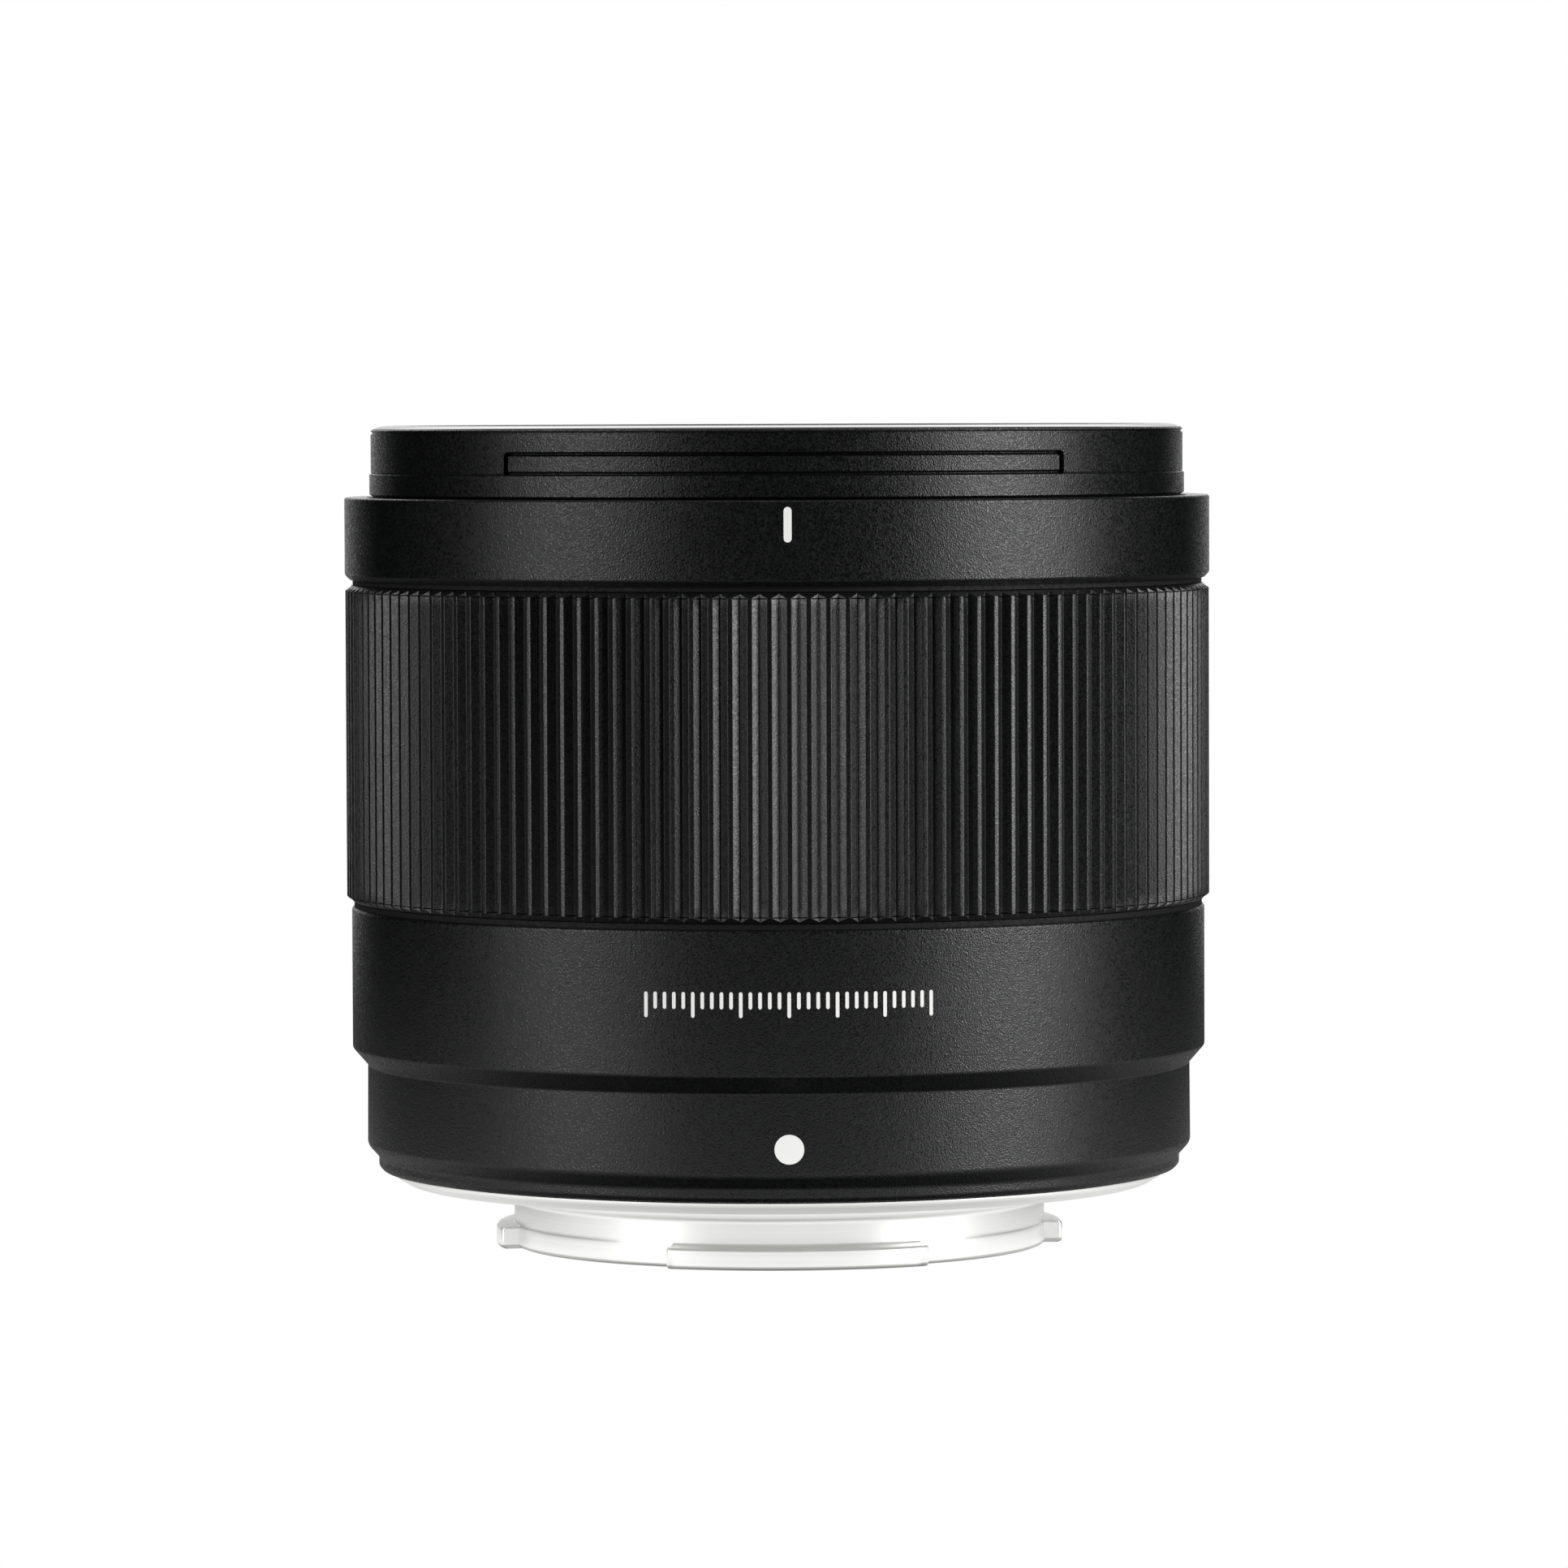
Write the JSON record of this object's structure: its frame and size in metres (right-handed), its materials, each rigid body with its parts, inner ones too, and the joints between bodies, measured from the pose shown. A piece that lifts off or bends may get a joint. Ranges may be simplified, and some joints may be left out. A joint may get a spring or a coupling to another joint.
{
  "type": "camera lens",
  "caption": "Autofocus prime camera lens with a wide ribbed focus ring, bayonet mount, hood bayonet and filter rim, standing on its mount.",
  "frame": {"origin": "on the optical axis in the plane of the bayonet's rear end, on which the lens stands", "axes": "+Z along the optical axis towards the front of the lens, -Y towards the marks, +X to their right"},
  "size_m": [0.065, 0.065, 0.0617],
  "materials": {
    "barrel_black": "satin",
    "grip_black": "satin",
    "inner_matt_black": "matte",
    "slide_strip": "matte",
    "mount_metal": "satin",
    "screw_steel": "satin",
    "contact_gold": "polished",
    "coated_glass": "polished",
    "blade_black": "satin",
    "brass": "satin",
    "rod_steel": "polished",
    "board_green": "satin",
    "flex_amber": "satin"
  },
  "bodies": {
    "body": {"filter_ring": "barrel_black", "front_cover_ring": "inner_matt_black", "index_ring": "barrel_black", "focus_slide_ring_front": "slide_strip", "focus_slide_ring_rear": "slide_strip", "inner_barrel": "inner_matt_black", "rear_barrel": "barrel_black", "bayonet_mount": "mount_metal", "mount_screw_1": "screw_steel", "mount_screw_2": "screw_steel", "mount_screw_3": "screw_steel", "mount_screw_4": "screw_steel", "rear_baffle": "inner_matt_black", "contact_block": "inner_matt_black", "contact_pin_01": "contact_gold", "contact_pin_02": "contact_gold", "contact_pin_03": "contact_gold", "contact_pin_04": "contact_gold", "contact_pin_05": "contact_gold", "contact_pin_06": "contact_gold", "contact_pin_07": "contact_gold", "contact_pin_08": "contact_gold", "contact_pin_09": "contact_gold", "contact_pin_10": "contact_gold", "lens_1": "coated_glass", "lens_2": "coated_glass", "lens_3": "coated_glass", "lens_4": "coated_glass", "lens_7": "coated_glass", "lens_8": "coated_glass", "lens_9": "coated_glass", "front_cell": "inner_matt_black", "front_lens_retainer": "inner_matt_black", "lens_spacer": "inner_matt_black", "rear_cell": "inner_matt_black", "iris_base": "inner_matt_black", "iris_cover": "inner_matt_black", "iris_motor": "rod_steel", "guide_rod_1": "rod_steel", "guide_rod_2": "rod_steel", "focus_motor": "rod_steel", "main_board": "board_green", "focus_sensor": "inner_matt_black", "flex_cable": "flex_amber"},
    "focus_ring": {"focus_ring": "grip_black", "focus_encoder_comb": "inner_matt_black"},
    "focus_carriage": {"focus_carriage": "inner_matt_black", "lens_5": "coated_glass", "lens_6": "coated_glass", "focus_nut": "brass"},
    "lead_screw": {"lead_screw": "rod_steel"},
    "iris_drive_ring": {"iris_drive_ring": "inner_matt_black"},
    "iris_pinion": {"iris_pinion": "brass"},
    "iris_blade_1": {"iris_blade_1": "blade_black"},
    "iris_blade_2": {"iris_blade_2": "blade_black"},
    "iris_blade_3": {"iris_blade_3": "blade_black"},
    "iris_blade_4": {"iris_blade_4": "blade_black"},
    "iris_blade_5": {"iris_blade_5": "blade_black"},
    "iris_blade_6": {"iris_blade_6": "blade_black"},
    "iris_blade_7": {"iris_blade_7": "blade_black"}
  },
  "joints": [
    {"name": "focus_ring_turn", "type": "hinge", "parent": "body", "child": "focus_ring", "pos_m": [0, 0, 0.0379], "axis": [0, 0, 1], "continuous": true},
    {"name": "focus_group_slide", "type": "slide", "parent": "body", "child": "focus_carriage", "axis": [0, 0, -1], "range_m": [0, 0.0024]},
    {"name": "lead_screw_turn", "type": "hinge", "parent": "body", "child": "lead_screw", "pos_m": [0.00595, 0.02222, 0.0246], "axis": [0, 0, 1], "range_deg": [0, 864]},
    {"name": "iris_ring_turn", "type": "hinge", "parent": "body", "child": "iris_drive_ring", "pos_m": [0, 0, 0.0345], "axis": [0, 0, 1], "range_deg": [0, 34]},
    {"name": "iris_pinion_turn", "type": "hinge", "parent": "body", "child": "iris_pinion", "pos_m": [-0.02225, -0.0081, 0.0345], "axis": [0, 0, 1], "range_deg": [-367.2, 0]},
    {"name": "iris_blade_1_turn", "type": "hinge", "parent": "body", "child": "iris_blade_1", "pos_m": [0.016, 0, 0.03177], "axis": [0, 0, 1], "range_deg": [0, 34]},
    {"name": "iris_blade_2_turn", "type": "hinge", "parent": "body", "child": "iris_blade_2", "pos_m": [0.00998, 0.01251, 0.03205], "axis": [0, 0, 1], "range_deg": [0, 34]},
    {"name": "iris_blade_3_turn", "type": "hinge", "parent": "body", "child": "iris_blade_3", "pos_m": [-0.00356, 0.0156, 0.03233], "axis": [0, 0, 1], "range_deg": [0, 34]},
    {"name": "iris_blade_4_turn", "type": "hinge", "parent": "body", "child": "iris_blade_4", "pos_m": [-0.01442, 0.00694, 0.03261], "axis": [0, 0, 1], "range_deg": [0, 34]},
    {"name": "iris_blade_5_turn", "type": "hinge", "parent": "body", "child": "iris_blade_5", "pos_m": [-0.01442, -0.00694, 0.03289], "axis": [0, 0, 1], "range_deg": [0, 34]},
    {"name": "iris_blade_6_turn", "type": "hinge", "parent": "body", "child": "iris_blade_6", "pos_m": [-0.00356, -0.0156, 0.03317], "axis": [0, 0, 1], "range_deg": [0, 34]},
    {"name": "iris_blade_7_turn", "type": "hinge", "parent": "body", "child": "iris_blade_7", "pos_m": [0.00998, -0.01251, 0.03345], "axis": [0, 0, 1], "range_deg": [0, 34]}
  ],
  "couplings": [
    {"joint": "lead_screw_turn", "follows": "focus_group_slide", "rad_per_m": 6283.2},
    {"joint": "iris_pinion_turn", "follows": "iris_ring_turn", "ratio": -10.8},
    {"joint": "iris_blade_1_turn", "follows": "iris_ring_turn", "ratio": 1},
    {"joint": "iris_blade_2_turn", "follows": "iris_ring_turn", "ratio": 1},
    {"joint": "iris_blade_3_turn", "follows": "iris_ring_turn", "ratio": 1},
    {"joint": "iris_blade_4_turn", "follows": "iris_ring_turn", "ratio": 1},
    {"joint": "iris_blade_5_turn", "follows": "iris_ring_turn", "ratio": 1},
    {"joint": "iris_blade_6_turn", "follows": "iris_ring_turn", "ratio": 1},
    {"joint": "iris_blade_7_turn", "follows": "iris_ring_turn", "ratio": 1}
  ]
}
